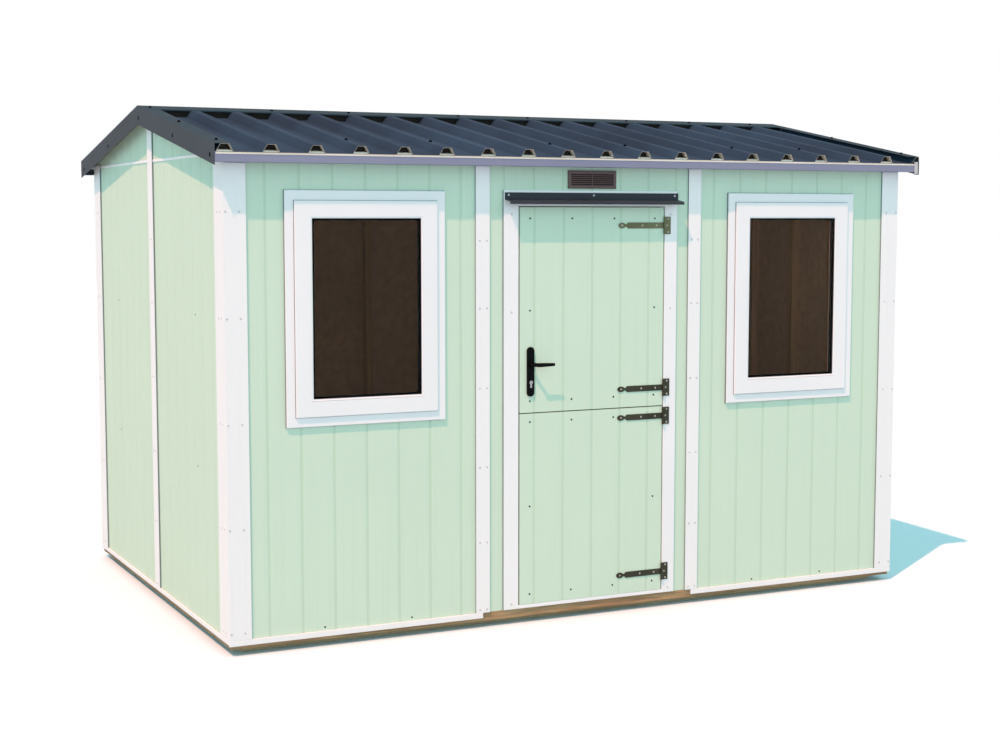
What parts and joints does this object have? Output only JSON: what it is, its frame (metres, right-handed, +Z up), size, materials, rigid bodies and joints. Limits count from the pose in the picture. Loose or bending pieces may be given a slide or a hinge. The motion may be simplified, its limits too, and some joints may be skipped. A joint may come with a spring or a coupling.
{
  "type": "garden office",
  "caption": "Small pitched-roof garden office with board-grooved composite walls, a split stable door, framed windows and a ribbed metal roof.",
  "frame": {"origin": "on the ground, at the middle of the building's overall footprint", "axes": "+X runs right along the door front, the door front faces -Y, +Z is up"},
  "size_m": [3.647, 2.554, 2.399],
  "materials": {
    "timber": "sawn softwood, oiled brown",
    "wall_panel": "mint green composite board, matt",
    "white_trim": "white, satin",
    "glazing": "clear sealed unit",
    "hinge_metal": "antique bronze, satin",
    "black_metal": "black powder coat",
    "roof_sheet": "anthracite coated steel",
    "flashing": "anthracite coated steel",
    "eaves_metal": "pale grey coated steel",
    "vent_plastic": "brown moulding"
  },
  "bodies": {
    "building": {"floor_bearers": "timber", "floor_panel": "timber", "floor_edge_timbers": "timber", "base_trims": "white_trim", "long_wall_plates": "timber", "end_wall_plates": "timber", "front_wall_studs": "timber", "back_wall_studs": "timber", "end_wall_studs": "timber", "opening_rails": "timber", "front_left_wall_panel": "wall_panel", "front_right_wall_panel": "wall_panel", "door_side_wall_panels": "wall_panel", "door_head_wall_panel": "wall_panel", "left_wall_panels": "wall_panel", "right_wall_panels": "wall_panel", "back_wall_panels": "wall_panel", "gable_panels": "wall_panel", "corner_trims": "white_trim", "cover_strips": "white_trim", "end_cover_strips": "white_trim", "gable_joint_strips": "white_trim", "left_window_frame": "white_trim", "right_window_frame": "white_trim", "left_window_sash": "white_trim", "right_window_sash": "white_trim", "window_glass": "glazing", "door_frame": "white_trim", "hinge_plates": "hinge_metal", "door_drip_bar": "flashing", "vent_grille": "vent_plastic", "gable_framing": "timber", "ridge_beam": "timber", "roof_purlins": "timber", "front_roof_sheet": "roof_sheet", "back_roof_sheet": "roof_sheet", "ridge_cap": "flashing", "barge_flashings": "flashing", "eaves_fascias": "eaves_metal"},
    "upper_door": {"upper_door_leaf": "wall_panel", "upper_hinge_straps": "hinge_metal", "handle_plates": "black_metal"},
    "lower_door": {"lower_door_leaf": "wall_panel", "lower_hinge_straps": "hinge_metal"},
    "lever": {"door_lever": "black_metal"}
  },
  "joints": [
    {"name": "upper_door_hinge", "type": "hinge", "parent": "building", "child": "upper_door", "pos_m": [0.3805, -1.206, 1.4475], "axis": [0, 0, 1], "range_deg": [0, 165]},
    {"name": "lower_door_hinge", "type": "hinge", "parent": "building", "child": "lower_door", "pos_m": [0.3805, -1.206, 0.5525], "axis": [0, 0, 1], "range_deg": [0, 165]},
    {"name": "lever_pivot", "type": "hinge", "parent": "upper_door", "child": "lever", "pos_m": [-0.328, -1.2, 1.2], "axis": [0, 1, 0], "range_deg": [0, 40], "stiffness_Nm_per_rad": 1, "springref_deg": -17.19}
  ]
}
